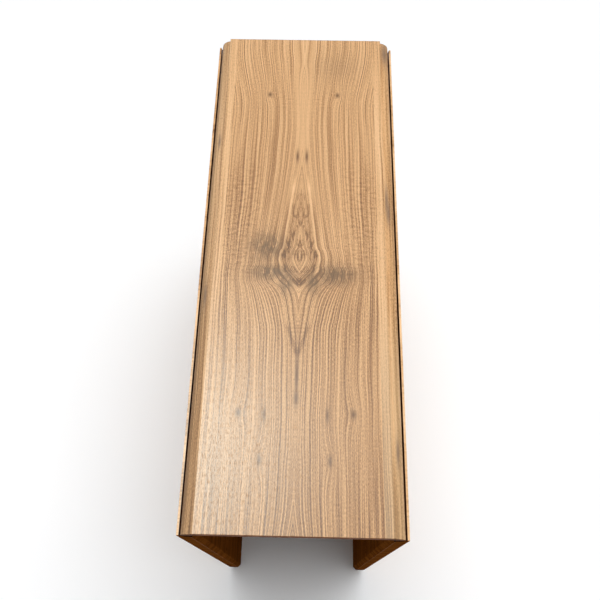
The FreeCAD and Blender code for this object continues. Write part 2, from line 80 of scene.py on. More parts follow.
# The nodes of one material, or of the world, and the shader that they feed.
class Graph:
    def __init__(self, owner, shaderName, **constants):
        owner.use_nodes = True
        self.owner = owner
        self.tree = owner.node_tree
        self.shader = self.tree.nodes[shaderName]
        for socket, value in constants.items():
            self.shader.inputs[socket.replace("_", " ")].default_value = value

    # Any node: its type, its settings (set first), then the values or links of its sockets.
    def node(self, kind, settings, inputs, output=0):
        made = self.tree.nodes.new(kind)
        for key, value in settings.items():
            if key == "stops":
                self.setStops(made.color_ramp, value)
            elif key == "points":
                self.setPoints(made.mapping, value)
            else:
                setattr(made, key, value)
        for key, value in inputs.items():
            if isinstance(value, Field):
                self.tree.links.new(value.socket, made.inputs[key])
            else:
                made.inputs[key].default_value = value
        return Field(self, made.outputs[output])

    def setStops(self, ramp, stops):
        while len(ramp.elements) < len(stops):
            ramp.elements.new(1.0)
        for element, (place, colour) in zip(ramp.elements, stops):
            element.position = place
            element.color = (*colour, 1.0)

    def setPoints(self, mapping, points):
        curve = mapping.curves[0]
        while len(curve.points) < len(points):
            curve.points.new(0.5, 0.5)
        for point, place in zip(curve.points, points):
            point.location = place
        mapping.update()

    def math(self, operation, first, second=0.0):
        return self.node("ShaderNodeMath", {"operation": operation}, {0: first, 1: second})

    def smooth(self, value, start, end):  # 0 at start, 1 at end, eased; start may be the larger
        settings = {"interpolation_type": "SMOOTHSTEP", "clamp": True}
        low, high, a, b = (start, end, 0.0, 1.0) if start < end else (end, start, 1.0, 0.0)
        inputs = {"Value": value, "From Min": low, "From Max": high, "To Min": a, "To Max": b}
        return self.node("ShaderNodeMapRange", settings, inputs)

    def curve(self, points, value):  # a free curve through points, with value from 0 to 1
        return self.node("ShaderNodeFloatCurve", {"points": points}, {"Value": value})

    def place(self):  # object coordinates in millimetres
        spot = self.node("ShaderNodeTexCoord", {}, {}, "Object")
        spot = self.node("ShaderNodeVectorMath", {"operation": "SCALE"}, {0: spot, "Scale": 1000.0})
        return [self.node("ShaderNodeSeparateXYZ", {}, {0: spot}, axis) for axis in "XYZ"]

    def vector(self, x, y, z):
        return self.node("ShaderNodeCombineXYZ", {}, {"X": x, "Y": y, "Z": z})

    def noise(self, x, y, z, detail=2.0, rough=0.5):
        inputs = {"Vector": self.vector(x, y, z), "Scale": 1.0, "Detail": detail, "Roughness": rough}
        return self.node("ShaderNodeTexNoise", {}, inputs)

    def ramp(self, value, stops):
        return self.node("ShaderNodeValToRGB", {"stops": stops}, {"Fac": value})

    def mix(self, factor, first, second, blend="MIX"):
        first, second = [c if isinstance(c, Field) else (*c, 1.0) for c in (first, second)]
        settings = {"data_type": "RGBA", "blend_type": blend}
        return self.node("ShaderNodeMix", settings, {0: factor, 6: first, 7: second}, 2)

    def ray(self, kinds):  # 1 for a ray of one of these kinds
        seen = [self.node("ShaderNodeLightPath", {}, {}, f"Is {kind} Ray") for kind in kinds]
        return self.math("MAXIMUM", self.math("MAXIMUM", seen[0], seen[1]), seen[2])

    def feed(self, socket, value):
        self.tree.links.new(value.socket, self.shader.inputs[socket])

    def bump(self, height, distance):
        inputs = {"Strength": 1.0, "Distance": distance, "Height": height}
        self.feed("Normal", self.node("ShaderNodeBump", {}, inputs))


def newMaterial(name, **constants):
    return Graph(bpy.data.materials.new(name), "Principled BSDF", **constants)


def linear(red, green, blue):  # a colour given as 0 to 255, as a screen shows it
    shares = [value / 255 for value in (red, green, blue)]
    return tuple(((share + 0.055) / 1.055) ** 2.4 if share > 0.04 else share / 12.92 for share in shares)


# Walnut: what every board shares. A line of the grain keeps one value of across, in mm.
walnut = {
    "shade": linear(106, 70, 38),
    "dark": linear(164, 118, 72),
    "field": linear(217, 170, 119),
    "light": linear(242, 198, 149),
    "smoke": linear(100, 75, 47),
    "endTint": (0.31, 0.17, 0.06),
    # The back tint is painted shade: it darkens and reddens the leaves' inner faces as their shadowed side.
    "backShadeTint": (0.28, 0.145, 0.045),
    # The bed tint is painted shade: it darkens the gaps of the rule joints.
    "bedShadeTint": (0.12, 0.06, 0.025),
    "poreDepth": 0.3,
}
# The layers of the grain: width and length in mm, place in the noise, detail and roughness.
grainLayers = {
    "lines": (2.8, 520.0, 0.0, 3.0, 0.75),
    "broad": (24.0, 300.0, 3.0, 2.0, 0.5),
    "fibre": (1.7, 300.0, 7.0, 2.0, 0.6),
    "fleck": (0.8, 3.2, 9.0, 1.0, 0.5),
    "dash": (0.5, 8.0, 11.0, 1.0, 0.5),
}
grainWeights = {"lines": 0.3, "broad": 0.05, "fibre": 0.98, "fleck": 0.4}
poreRange = (0.55, 0.75)


# A soft spot that is 1 at its middle: e^-(dx^2 + dy^2), with dx and dy in units of its half width.
def spotAt(graph, x, y, middleX, middleY, wide, long):
    apart = ((x - middleX) / wide) ** 2.0 + ((y - middleY) / long) ** 2.0
    return graph.math("EXPONENT", -apart)


# The strongest of several spots.
def spotsAt(graph, x, y, spots):
    found = None
    for spot in spots:
        here = spotAt(graph, x, y, *spot)
        found = here if found is None else graph.math("MAXIMUM", found, here)
    return found


# A soft line where value passes middle: e^-((value - middle) / half)^2.
def lineAt(graph, value, middle, half):
    return graph.math("EXPONENT", -(((value - middle) / half) ** 2.0))


# Growth lines, fibres and pores: 0.5 plus each layer's distance from its middle value, weighted.
def grainOf(graph, across, along, seed, fleckWeight=grainWeights["fleck"]):
    layers = {}
    for name, (wide, long, shift, detail, rough) in grainLayers.items():
        layers[name] = graph.noise(across / wide, along / long, seed + shift, detail, rough)
    weights = {**grainWeights, "fleck": fleckWeight}
    tone = sum(((layers[name] - 0.5) * weight for name, weight in weights.items()), 0.5)
    return tone, graph.smooth(layers["dash"], *poreRange), layers["fibre"]


# Yearly lines: sin(2 pi phase), where phase = across / width + wander, stronger in some years. Sizes in mm.
years = {"width": 4.2, "bend": (26.0, 700.0, 6.0), "patch": (7.0, 500.0), "patchRange": (0.3, 0.7)}


def yearsOf(graph, across, along, seed):
    bendWide, bendLong, bendBy = years["bend"]
    patchWide, patchLong = years["patch"]
    slow = graph.noise(across / bendWide, along / bendLong, seed, 1.0)
    wave = graph.math("SINE", (across / years["width"] + slow * bendBy) * math.tau)
    strength = graph.noise(across / patchWide, along / patchLong, seed + 2.0, 1.0)
    return wave * graph.smooth(strength, *years["patchRange"])


# Single growth lines: crests where a slow noise passes its middle value.
crests = {"apart": 3.6, "long": 900.0, "half": 0.055}


def crestOf(graph, across, along, seed):
    slow = graph.noise(across / crests["apart"], along / crests["long"], seed, 0.0)
    return graph.smooth(abs(slow - 0.5), crests["half"], 0.0)


def walnutColour(graph, tone, pores):
    names = {0.16: "shade", 0.34: "dark", 0.54: "field", 0.8: "light"}
    stops = [(place, walnut[name]) for place, name in names.items()]
    return graph.mix(pores * walnut["poreDepth"], graph.ramp(tone, stops), walnut["shade"])


# The sawn ends of the boards, at y = +-395 mm, take the oil deeper. bevel is what is cut off there.
endLook = {"from": 394.4, "full": 394.8, "bevelFrom": 723.0}


def endsOf(graph, along, bevel=0.0):
    return graph.smooth(abs(along) + bevel, endLook["from"], endLook["full"])


# Under the ends of the top the bevel grows by as much as it goes down.
def topBevel(graph, z):
    return graph.math("MAXIMUM", endLook["bevelFrom"] - z, 0.0)


# Painted shade in the bed of each rule joint: the cove, and the ovolo below its shoulder, are darkened as the
# shadowed gap. line is the hinge line (x, z), and the painted shade reaches coveEnd from it. Sizes in mm.
bedShadeLook = {"line": (125.0, 720.0), "coveEnd": 17.2, "shoulder": 724.5, "end": 388.5}


def bedShadeOf(graph, away, z):
    lineX, lineZ = bedShadeLook["line"]
    reach = graph.math("SQRT", (away - lineX) ** 2.0 + (z - lineZ) ** 2.0)
    inside = graph.smooth(reach, bedShadeLook["coveEnd"] + 0.2, bedShadeLook["coveEnd"] - 0.2)
    return inside * graph.smooth(away, lineX - 0.5, lineX + 0.5)


# The satin finish lies a little in the pores, and the ends stay matt. bump is in metres.
satinLook = {"poreRough": 0.15, "fibreRough": 0.1, "endRough": 0.6, "fibreBump": 0.4, "bump": 0.00005}


def satin(graph, colour, pores, fibre, rough, ends):
    graph.feed("Base Color", graph.mix(ends, colour, walnut["endTint"], "MULTIPLY"))
    uneven = pores * satinLook["poreRough"] + (fibre - 0.5) * satinLook["fibreRough"]
    graph.feed("Roughness", rough + uneven + ends * satinLook["endRough"])
    graph.bump(fibre * satinLook["fibreBump"] - pores, satinLook["bump"])


# Top: two sheets of veneer opened like a book about the table's middle, with an eye where the lines part.
# across = |x| - height swell(y) e^(-|x| / spread) - fanHeight fan(y) e^-((|x| - fanAt) / fanWide)^2, so lines
# with across < 0 close round the eye, and those beside its foot fan out. swell and fan are curves over
# share = (y + reach) / (2 reach). Sizes in mm, spots as (x, y, half width, half length).
topFigure = {
    "spread": 20.0,
    "height": 145.0,
    "reach": 400.0,
    "swell": [(0.0, 0.06), (0.069, 0.0), (0.295, 0.0), (0.3625, 0.035), (0.404, 0.062), (0.419, 0.103),
              (0.4275, 0.166), (0.439, 0.276), (0.456, 0.586), (0.465, 0.76), (0.474, 0.9), (0.4825, 0.96),
              (0.501, 0.73), (0.54, 0.583), (0.59, 0.42), (0.646, 0.283), (0.7, 0.186), (0.769, 0.124),
              (0.835, 0.14), (0.9, 0.06), (0.94, 0.0), (1.0, 0.0)],
    "fan": [(0.0, 0.0), (0.325, 0.0), (0.363, 0.12), (0.394, 0.33), (0.425, 0.7), (0.447, 1.0),
            (0.463, 0.7), (0.49, 0.5), (0.53, 0.34), (0.58, 0.2), (0.65, 0.07), (0.72, 0.0), (1.0, 0.0)],
    "fanAt": 48.0,
    "fanWide": 38.0,
    "fanHeight": 26.0,
    "farFan": (250.0, 382.0, 17.0),  # from, to, and how far the lines move
    "wander": (45.0, 110.0, 6.0),  # width, length, and how far the lines move
    "knots": [(54, 279, 3.4, 4.5), (45, -304, 2.8, 8.0), (75, -243, 3.8, 6.0), (41, -245, 2.0, 10.0),
              (7, 160, 2.4, 10.0), (0, -222, 3.4, 13.0), (0, -192, 2.4, 26.0)],
    "parting": (3, 3.2, 4.0, 5.0),  # lines part round the first knots: how many, wider, longer, how far
}
# How light or dark the veneer is, and how clearly its lines show.
topTones = {
    "middle": 0.43,
    "drift": 0.0002,
    "contrast": [(0.0, 0.475), (0.22, 0.475), (0.42, 0.62), (0.52, 0.62), (0.6, 0.46), (0.74, 0.46),
                 (0.82, 0.55), (1.0, 0.55)],  # half the contrast, over share
    "fleckWeight": 0.45,
    "drawnSpot": (0, -25, 95, 120),
    "drawnFar": (180.0, 330.0, 0.8),
    "drawnLeast": 0.25,
    "crestWeight": 0.12,
    "yearWeight": 0.1,
    "plainBand": {"from": 160.0, "half": 8.0, "spread": 0.045, "calm": 0.4, "lift": 0.06},
    "patches": [(62, 90, 50, 150, 0.035), (62, -95, 45, 60, -0.05)],
    "pairedPatch": (60, -240, 60, 120, 0.03),
    "endTone": 0.45,
    "endCalm": 0.7,
    "rough": 0.36,
}
# The eye: a pale line round it, a dark rim outside, a dark line and dots inside. Lines are given as
# (across, half width), and pairs of y say where a mark fades in.
eyeLook = {
    "inside": (-17.0, -22.0),
    "dotSize": (4.5, 16.0),
    "dotRange": (0.45, 0.66),
    "dotFade": (140.0, 60.0),
    "dotDepth": 0.18,
    "pale": (-15.0, 4.4),
    "paleFade": (130.0, 100.0),
    "paleFoot": (-50.0, -25.0, 0.4),
    "paleLift": (0.05, 0.4),
    "rim": (-8.5, 4.4),
    "rimFade": (110.0, 40.0),
    "rimFoot": (-62.0, -40.0),
    "rimDepth": 0.2,
    "inner": (-27.0, 2.6),
    "innerFade": (12.0, -12.0),
    "innerDepth": 0.13,
}
# Dark strokes under the eye, a line each side at the near end, and ripples across the grain beside the eye.
strokes = {"tip": -165.0, "slope": 0.315, "half": 3.0, "start": (-3.0, 8.0), "end": (55.0, 35.0),
           "depth": 0.17}
nearLine = {"at": (20.5, 1.3), "fade": (-90.0, -150.0), "depth": 0.14}
ripples = {"size": (12.0, 4.4), "lean": 40.0, "range": (0.4, 0.75), "away": (48.0, 75.0),
           "near": (-75.0, -30.0), "far": (170.0, 110.0), "depth": 0.09}
# Smoky stain beside the eye, and a faint haze at the far end.
stain = {
    "spots": [(-47, 2, 26, 22), (-42, -38, 27, 12), (50, -42, 30, 15), (-18, -54, 10, 18),
              (20, -52, 12, 18)],
    "cloudSize": (5.0, 15.0),
    "cloudRange": (0.25, 0.55),
    "depth": 0.12,
    "strength": 0.78,
    "haze": (52, 338, 36, 30),
    "hazeStrength": 0.22,
    "knotStrength": 0.95,
}


def topAcross(graph, away, y, share):
    look = topFigure
    wide, long, moved = look["wander"]
    wander = graph.noise(away / wide, y / long, 2.0, 2.0)
    swell = graph.curve(look["swell"], share) * look["height"]
    across = away + (wander - 0.5) * moved - swell * graph.math("EXPONENT", away / -look["spread"])
    fan = graph.curve(look["fan"], share) * look["fanHeight"]
    across = across - fan * lineAt(graph, away, look["fanAt"], look["fanWide"])
    farStart, farEnd, farShift = look["farFan"]
    across = across - graph.smooth(y, farStart, farEnd) * farShift
    count, wider, longer, push = look["parting"]
    parted = [(x, at, wide * wider, long * longer) for x, at, wide, long in look["knots"][:count]]
    return across - spotsAt(graph, away, y, parted) * push


# The band down the middle where the lines are calm: 1 inside it. It widens away from the eye.
def topBand(graph, away, y):
    look = topTones["plainBand"]
    band = graph.smooth(away - (y - look["from"]) * look["spread"], look["half"] + 3.0, look["half"] - 3.0)
    return band * graph.smooth(y, look["from"] - 20.0, look["from"] + 30.0)


# Grain and growth lines, and the dots in the eye.
def topLines(graph, away, y, across, mottle):
    tone, pores, fibre = grainOf(graph, across, y, 0.0, topTones["fleckWeight"])
    farStart, farEnd, farShare = topTones["drawnFar"]
    drawn = spotAt(graph, away, y, *topTones["drawnSpot"])
    drawn = graph.math("MAXIMUM", drawn, graph.smooth(y, farStart, farEnd) * farShare)
    drawn = topTones["drawnLeast"] + drawn * (1 - topTones["drawnLeast"])  # how clearly growth lines show
    crest = crestOf(graph, across, y, 41.0) - crestOf(graph, across, y, 47.0)
    tone = tone + crest * drawn * topTones["crestWeight"]
    tone = tone + yearsOf(graph, across, y, 51.0) * drawn * topTones["yearWeight"]
    inEye = graph.smooth(across, *eyeLook["inside"]) * graph.smooth(y, *eyeLook["dotFade"])
    dots = inEye * graph.smooth(mottle, *eyeLook["dotRange"]) * eyeLook["dotDepth"]
    return tone - dots, pores, fibre


# What the eye's own lines add.
def eyeLines(graph, y, across, mottle):
    footStart, footEnd, footLeast = eyeLook["paleFoot"]
    lift, mottleLift = eyeLook["paleLift"]
    pale = lineAt(graph, across, *eyeLook["pale"]) * graph.smooth(y, *eyeLook["paleFade"])
    pale = pale * (footLeast + graph.smooth(y, footStart, footEnd) * (1 - footLeast))
    rim = lineAt(graph, across, *eyeLook["rim"]) * graph.smooth(y, *eyeLook["rimFade"])
    rim = rim * graph.smooth(y, *eyeLook["rimFoot"]) * eyeLook["rimDepth"]
    inner = lineAt(graph, across, *eyeLook["inner"]) * graph.smooth(y, *eyeLook["innerFade"])
    return pale * (lift + mottle * mottleLift) - rim - inner * eyeLook["innerDepth"]


# What strokes, near lines and ripples take away.
def topStrokes(graph, away, y, across):
    below = y - strokes["tip"]
    stroke = lineAt(graph, away - below * strokes["slope"], 0.0, strokes["half"])
    stroke = stroke * graph.smooth(below, *strokes["start"]) * graph.smooth(below, *strokes["end"])
    near = lineAt(graph, across, *nearLine["at"]) * graph.smooth(y, *nearLine["fade"])
    wide, long = ripples["size"]
    ripple = graph.noise(away / wide, y / long + away / ripples["lean"], 13.0, 1.0)
    rippled = graph.smooth(away, *ripples["away"]) * graph.smooth(y, *ripples["near"])
    rippled = rippled * graph.smooth(y, *ripples["far"]) * graph.smooth(ripple, *ripples["range"])
    return stroke * strokes["depth"] + near * nearLine["depth"] + rippled * ripples["depth"]


# Wide lighter and darker patches, and the slow change from end to end.
def topPatches(graph, x, away, y):
    change = y * topTones["drift"]
    for *spot, lift in topTones["patches"]:
        change = change + spotAt(graph, x, y, *spot) * lift
    *spot, lift = topTones["pairedPatch"]
    return change + spotAt(graph, away, y, *spot) * lift


def makeTopVeneer():
    graph = newMaterial("walnutTopVeneer", IOR=1.5, Specular_IOR_Level=0.5)
    x, y, z = graph.place()
    away = abs(x)
    share = (y + topFigure["reach"]) / (2 * topFigure["reach"])
    across = topAcross(graph, away, y, share)
    dotWide, dotLong = eyeLook["dotSize"]
    mottle = graph.noise(away / dotWide, y / dotLong, 17.0, 2.0, 0.6)
    tone, pores, fibre = topLines(graph, away, y, across, mottle)
    band = topBand(graph, away, y)
    contrast = graph.curve(topTones["contrast"], share) * 2.0
    contrast = contrast * (1.0 - band * topTones["plainBand"]["calm"])
    tone = topTones["middle"] + (tone - 0.5) * contrast + band * topTones["plainBand"]["lift"]
    tone = tone + eyeLines(graph, y, across, mottle) - topStrokes(graph, away, y, across)
    tone = tone + topPatches(graph, x, away, y)
    cloudWide, cloudLong = stain["cloudSize"]
    cloud = graph.noise(x / cloudWide, y / cloudLong, 5.0, 2.0, 0.6)
    smoke = spotsAt(graph, x, y, stain["spots"]) * graph.smooth(cloud, *stain["cloudRange"])
    ends = endsOf(graph, y, topBevel(graph, z))
    plain = topTones["endTone"]
    tone = plain + (tone - smoke * stain["depth"] - plain) * (1.0 - ends * topTones["endCalm"])
    colour = walnutColour(graph, tone, pores)
    haze = spotAt(graph, x, y, *stain["haze"]) * stain["hazeStrength"]
    colour = graph.mix(smoke * stain["strength"] + haze, colour, walnut["smoke"])
    knots = spotsAt(graph, away, y, topFigure["knots"])
    colour = graph.mix(knots * stain["knotStrength"], colour, walnut["shade"])
    satin(graph, colour, pores, fibre, topTones["rough"], ends)
    return graph.owner


# Solid lippings: straight grain, a pale strip of sapwood beside the panel, and heartwood on the round.
# Painted light on
# the rounds: highlight spots and a grey sheen on the right, and shade on the outer slope of the left.
# Fades are (from y, to y, how much). Sizes in mm, spots as (x, y, half width, half length).
lippingLook = {
    "wander": (40.0, 160.0, 5.0),
    "slant": 0.4,
    "closer": 0.7,
    "stripEnd": 121.5,
    "stripWaist": (20.0, 150.0, 5.0),
    "stripLift": 0.12,
    "stripFade": (60.0, -180.0, 0.06),
    "stripFadeLeft": 0.09,
    "stripNear": (-150.0, -300.0, 0.06),
    "stripNearRight": 0.1,
    "lower": 0.02,
    "roundStart": 122.5,
    "roundLift": 0.04,
    "roundLeft": 0.04,
    "nearLeft": (-20.0, -260.0, 0.8),
    "nearRight": (-250.0, -370.0, 1.0),
    "nearDepth": 0.14,
    # low: painted shade on the outer slope of the left round.
    "low": (132.0, 137.0),
    "leftShadeDepth": 0.08,
    # pale: painted highlight spots on the right round.
    "pale": [(128, -130, 3.5, 60), (130, -260, 5, 60)],
    "paleLift": 0.09,
    "marks": [(-132, -74, 2.4, 20), (128, 84, 3.0, 30), (130, 66, 3.6, 24), (-130, 190, 2.0, 14),
              (132, -290, 2.4, 20), (132, 374, 6.0, 24)],
    "markColour": linear(116, 96, 82),
    "markStrength": 0.8,
    # A grey tint: painted sheen on the near right round, and a greyer colour on the left round.
    "greyAndSheen": linear(204, 178, 140),
    "sheenRight": (-60.0, -200.0, 0.3),
    "greyLeft": 0.1,
    "leftTint": (1.0, 1.04, 1.12),
    "rough": 0.38,
    "roundRough": 0.4,
}


def makeLipping():
    look = lippingLook
    graph = newMaterial("walnutLipping", IOR=1.5, Specular_IOR_Level=0.5)
    x, y, z = graph.place()

    def fade(name):
        start, end, much = look[name]
        return graph.smooth(y, start, end) * much

    away = abs(x)
    toLeft = graph.smooth(x, 1.0, -1.0)
    toRight = 1.0 - toLeft
    wide, long, moved = look["wander"]
    wander = graph.noise(x / wide, y / long, 21.0, 1.0)
    across = (x + z * look["slant"]) * look["closer"] + (wander - 0.5) * moved
    tone, pores, fibre = grainOf(graph, across, y, 21.0)
    waistAt, waistLong, waistDeep = look["stripWaist"]
    stripEdge = away + lineAt(graph, y, waistAt, waistLong) * toLeft * waistDeep
    strip = graph.smooth(stripEdge, look["stripEnd"] + 1.0, look["stripEnd"] - 1.0)
    heart = graph.smooth(away, look["roundStart"] - 0.6, look["roundStart"] + 0.6)
    stripStart, stripFull, stripFade = look["stripFade"]
    fadeHere = graph.smooth(y, stripStart, stripFull) * (stripFade + toLeft * look["stripFadeLeft"])
    nearStart, nearFull, nearFade = look["stripNear"]
    nearHere = graph.smooth(y, nearStart, nearFull) * (nearFade + toRight * look["stripNearRight"])
    tone = tone - look["lower"] + strip * (look["stripLift"] - fadeHere - nearHere)
    toNear = fade("nearLeft") * toLeft + fade("nearRight") * toRight
    # Painted shade: the outer slope of the left round is darkened as it turns from the light.
    low = graph.smooth(away, *look["low"]) * toLeft
    lift = look["roundLift"] - toLeft * look["roundLeft"]
    lift = lift - toNear * look["nearDepth"] - low * look["leftShadeDepth"]
    # The pale spots add a painted highlight on the right round.
    tone = tone + heart * lift + spotsAt(graph, x, y, look["pale"]) * look["paleLift"]
    # Painted sheen: the grey tint on the near right round; the left round is made greyer too.
    greyAndSheen = toRight * fade("sheenRight") + toLeft * heart * look["greyLeft"]
    colour = graph.mix(greyAndSheen, walnutColour(graph, tone, pores), look["greyAndSheen"])
    colour = graph.mix(toLeft * heart, colour, look["leftTint"], "MULTIPLY")
    marks = spotsAt(graph, x, y, look["marks"])
    colour = graph.mix(marks * look["markStrength"], colour, look["markColour"])
    # Painted shade: the ovolo below its shoulder is darkened as the shadowed gap of the joint.
    bedShade = bedShadeOf(graph, away, z) * graph.smooth(z, bedShadeLook["shoulder"] + 0.8, bedShadeLook["shoulder"] - 0.8)
    bedShade = bedShade * graph.smooth(abs(y), bedShadeLook["end"] + 0.3, bedShadeLook["end"] - 0.3)
    colour = graph.mix(bedShade, colour, walnut["bedShadeTint"], "MULTIPLY")
    ends = endsOf(graph, y, topBevel(graph, z))
    satin(graph, colour, pores, fibre, look["rough"] + heart * look["roundRough"], ends)
    return graph.owner


# Leaves: crown-cut walnut outside, and a back darkened by painted shade. A flat cut through the rings of a
# tapering log shows lines where (z - middle)^2 + depth(y)^2 stays the same, so arches rise along the board.
# Sizes in mm.
leafLook = {
    "middle": 330.0,
    "depth": 95.0,
    "taper": 0.14,
    "wander": (60.0, 200.0, 120.0, 60.0),  # along x, y and z, and how far the lines move
    "closer": 0.8,
    "yearWeight": 0.09,
    "backAt": 128.5,
    "backContrast": 0.8,
    "lipAt": (718.6, 719.4),
    "lipFace": (140.0, 142.0),
    "lipLift": 0.15,
    "rough": 0.5,
    "coat": 0.6,
}


def makeLeafVeneer():
    look = leafLook
    graph = newMaterial("walnutLeaf", Specular_IOR_Level=0.0, Coat_IOR=1.5, Coat_Roughness=0.36)
    x, y, z = graph.place()
    bendX, bendY, bendZ, moved = look["wander"]
    wander = graph.noise(z / bendZ, y / bendY, x / bendX, 2.0)
    depth = look["depth"] + y * look["taper"] + (wander - 0.5) * moved
    across = graph.math("SQRT", (z - look["middle"]) ** 2.0 + depth ** 2.0) * look["closer"]
    tone, pores, fibre = grainOf(graph, across, y, 33.0)
    tone = tone + yearsOf(graph, across, y, 35.0) * look["yearWeight"]
    back = graph.smooth(abs(x), look["backAt"] + 1.0, look["backAt"])
    lip = graph.smooth(z, *look["lipAt"]) * graph.smooth(x, *look["lipFace"])
    tone = 0.5 + (tone - 0.5) * (1.0 + back * look["backContrast"]) + lip * look["lipLift"]
    colour = walnutColour(graph, tone, pores)
    # Painted shade: the back is darkened and reddened as the shadowed inner face.
    colour = graph.mix(back, colour, walnut["backShadeTint"], "MULTIPLY")
    # Painted shade: the cove is darkened as the shadowed gap of the joint.
    colour = graph.mix(bedShadeOf(graph, abs(x), z), colour, walnut["bedShadeTint"], "MULTIPLY")
    ends = endsOf(graph, y) * (1.0 - back)
    satin(graph, colour, pores, fibre, look["rough"], ends)
    graph.feed("Coat Weight", (1.0 - back) * (1.0 - ends) * look["coat"])
    return graph.owner


# Base: straight-grained walnut, a shade darker. grain names the axis that the grain follows.
baseLook = {"wander": (60.0, 200.0, 14.0), "slant": 0.6, "darker": 0.12, "rough": 0.42}


def makeBaseWood(name, grain, width, seed):
    graph = newMaterial(name, IOR=1.45, Specular_IOR_Level=0.2)
    axes = dict(zip("xyz", graph.place()))
    along = axes[grain]
    other = next(axis for axis in "xyz" if axis not in (grain, width))
    wide, long, moved = baseLook["wander"]
    wander = graph.noise(axes[width] / wide, along / long, seed, 1.0)
    across = axes[width] + axes[other] * baseLook["slant"] + (wander - 0.5) * moved
    tone, pores, fibre = grainOf(graph, across, along, seed)
    colour = walnutColour(graph, tone - baseLook["darker"], pores)
    satin(graph, colour, pores, fibre, baseLook["rough"], 0.0)
    return graph.owner


# Metal and small parts: brushed or grained by stretched noise, with a little wear. bump is in metres.
metalLook = {"wearSize": 14.0, "brushShare": 0.6, "dark": 0.72, "uneven": 0.2, "bump": 0.00004}


def makeMetal(name, colour, metallic, rough, stretch, seed):
    graph = newMaterial(name, Metallic=metallic)
    x, y, z = graph.place()
    size, share = metalLook["wearSize"], metalLook["brushShare"]
    brush = graph.noise(x * stretch[0], y * stretch[1], z * stretch[2] + seed, 3.0, 0.6)
    worn = graph.noise(x / size, y / size, z / size + seed, 2.0)
    darker = tuple(value * metalLook["dark"] for value in colour)
    graph.feed("Base Color", graph.mix(brush * share + worn * (1 - share), darker, colour))
    graph.feed("Roughness", rough + (brush - 0.5) * metalLook["uneven"])
    graph.bump(brush, metalLook["bump"])
    return graph.owner


def dress(node, material):
    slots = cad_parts[node].data.materials
    slots.clear()
    slots.append(material)


topVeneer = makeTopVeneer()
lippingWood = makeLipping()
leafVeneer = makeLeafVeneer()
legWood = makeBaseWood("walnutLeg", "z", "x", 45.0)
railWood = makeBaseWood("walnutRail", "y", "z", 57.0)
crossWood = makeBaseWood("walnutCrossRail", "x", "z", 63.0)
hingeBrass = makeMetal("hingeBrass", linear(176, 142, 84), 1.0, 0.4, (0.3, 2.0, 0.3), 2.0)
supportBlack = makeMetal("supportBlack", linear(38, 37, 36), 0.0, 0.5, (1.5, 1.5, 1.5), 4.0)
boltSteel = makeMetal("boltSteel", linear(168, 168, 170), 1.0, 0.32, (3.0, 0.4, 3.0), 6.0)
glideNylon = makeMetal("glideNylon", linear(52, 48, 44), 0.0, 0.6, (0.9, 0.9, 0.9), 8.0)
bumperRubber = makeMetal("bumperRubber", linear(30, 29, 28), 0.0, 0.75, (1.2, 1.2, 1.2), 9.0)
finishes = {
    "top_panel": topVeneer, "top_lipping": lippingWood, "leaf_edge": leafVeneer, "leaf_stile": leafVeneer,
    "leaf_panel": leafVeneer, "leg_": legWood, "side_rail": railWood, "long_stretcher": railWood,
    "end_rail": crossWood, "end_stretcher": crossWood, "hinge_": hingeBrass, "top_clips": hingeBrass,
    "support_": supportBlack, "slide_bolt": boltSteel, "foot_glides": glideNylon,
    "leaf_bumpers": bumperRubber,
}
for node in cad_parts:
    stem = next(stem for stem in finishes if node.startswith(stem))
    dress(node, finishes[stem])
print("finishes on", len(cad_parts), "nodes")


# Screws: oval heads with a slot. Over a disc x = R a, y = R b sqrt(1 - a^2), with a and b from -1 to 1,
# a head stands rise (1 - r^2) high, and a part of that along the slot. Below, it sinks in as a bowl.
# Sizes in mm. rings are the places across the head, from its edge to the slot.
screwLook = {"radius": 3.5, "rise": 1.0, "sink": 1.5, "slotHalf": 0.13, "slotLeft": 0.25, "turnStep": 2.4,
             "rings": (1.0, 0.93, 0.78, 0.58, 0.36), "rows": 13}
# Where the screws go, in mm: (x, y) on a top plate, (z, y) on a leaf plate or an arm, with y from its middle,
# x on a bracket and y on a clip. A Face is the x or z that the heads sit on, a clip's pair is (x, z).
screwPlaces = {
    "hingeMiddles": (-200, 0, 200),
    "topPlate": [(103, -12), (103, 12), (114, 0)],
    "topPlateFace": 717,
    "leafPlate": [(664, 0), (688, -12), (688, 12)],
    "leafPlateFace": 122,
    "armMiddle": 335,
    "arm": [(402, 0), (471, 0), (540, 0), (612, -6.3), (612, 6.3)],
    "armFace": 117,
    "bracketMiddle": 316,
    "bracket": (74, 91, 108),
    "bracketFace": 713,
    "clip": (112, 128),
    "clipFlat": (62, 714.5),
    "clipRail": (73.5, 702),
}


def screwHead():
    look = screwLook
    half = look["slotHalf"]
    side = np.array([*look["rings"], half])
    slot = np.array([-half, 0.0, half])
    a = np.concatenate([-side, slot, side[::-1]])[:, None]
    inSlot = np.zeros_like(a)
    inSlot[len(side):len(side) + len(slot)] = 1.0
    b = np.sin(np.linspace(-np.pi / 2, np.pi / 2, look["rows"]))[None, :]
    x = look["radius"] * a * np.ones_like(b)
    y = look["radius"] * b * np.sqrt(1 - a ** 2)
    dome = 1 - (x ** 2 + y ** 2) / look["radius"] ** 2
    above = look["rise"] * dome * (1 - inSlot * (1 - look["slotLeft"]))
    return np.stack([x, y, above], -1), np.stack([x, y, -look["sink"] * dome], -1)


